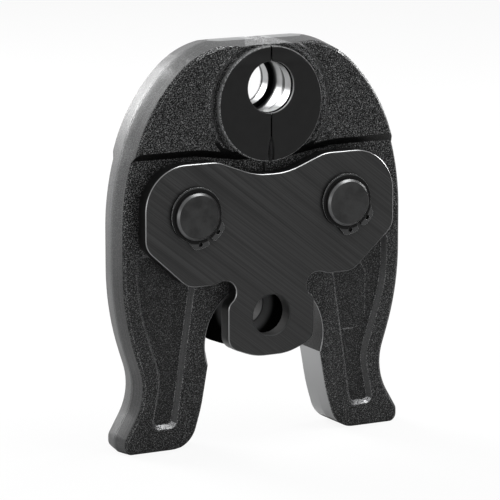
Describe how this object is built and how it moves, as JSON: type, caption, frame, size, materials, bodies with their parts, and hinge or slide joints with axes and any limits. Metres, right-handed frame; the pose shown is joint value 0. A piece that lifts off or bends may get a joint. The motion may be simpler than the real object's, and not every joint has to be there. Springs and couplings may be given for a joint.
{
  "type": "press fitting tool jaw",
  "caption": "Press jaw with forged arms that carry the halves of a round press die and swing on pins between side plates, closed by rollers driven up between the legs.",
  "frame": {"origin": "centre of the tool pin's hole, on the middle plane between the two side plates", "axes": "+X to the right seen from the front, +Y along the tool pin's hole away from the front plate, +Z from the tool pin up to the die"},
  "size_m": [0.1072, 0.03, 0.1367],
  "materials": {
    "plate_steel": "brushed, black oxide",
    "forged_steel": "shot-blasted black forging with machined die and cam faces",
    "pin_steel": "satin, black oxide",
    "ring_steel": "phosphated",
    "spring_steel": "satin"
  },
  "bodies": {
    "frame": {"front_plate": "plate_steel", "back_plate": "plate_steel", "left_pin": "pin_steel", "right_pin": "pin_steel", "front_left_clip": "ring_steel", "front_right_clip": "ring_steel", "back_left_clip": "ring_steel", "back_right_clip": "ring_steel", "closing_spring": "spring_steel"},
    "left_jaw": {"left_arm": "forged_steel"},
    "right_jaw": {"right_arm": "forged_steel"}
  },
  "joints": [
    {"name": "left_pivot", "type": "hinge", "parent": "frame", "child": "left_jaw", "pos_m": [-0.0286, 0, 0.03635], "axis": [0, -1, 0], "range_deg": [0, 18], "stiffness_Nm_per_rad": 0.8, "springref_deg": -22.92, "deforming": ["closing_spring"]},
    {"name": "right_pivot", "type": "hinge", "parent": "frame", "child": "right_jaw", "pos_m": [0.0286, 0, 0.03635], "axis": [0, 1, 0], "range_deg": [0, 18], "stiffness_Nm_per_rad": 0.8, "springref_deg": -22.92, "deforming": ["closing_spring"]}
  ]
}
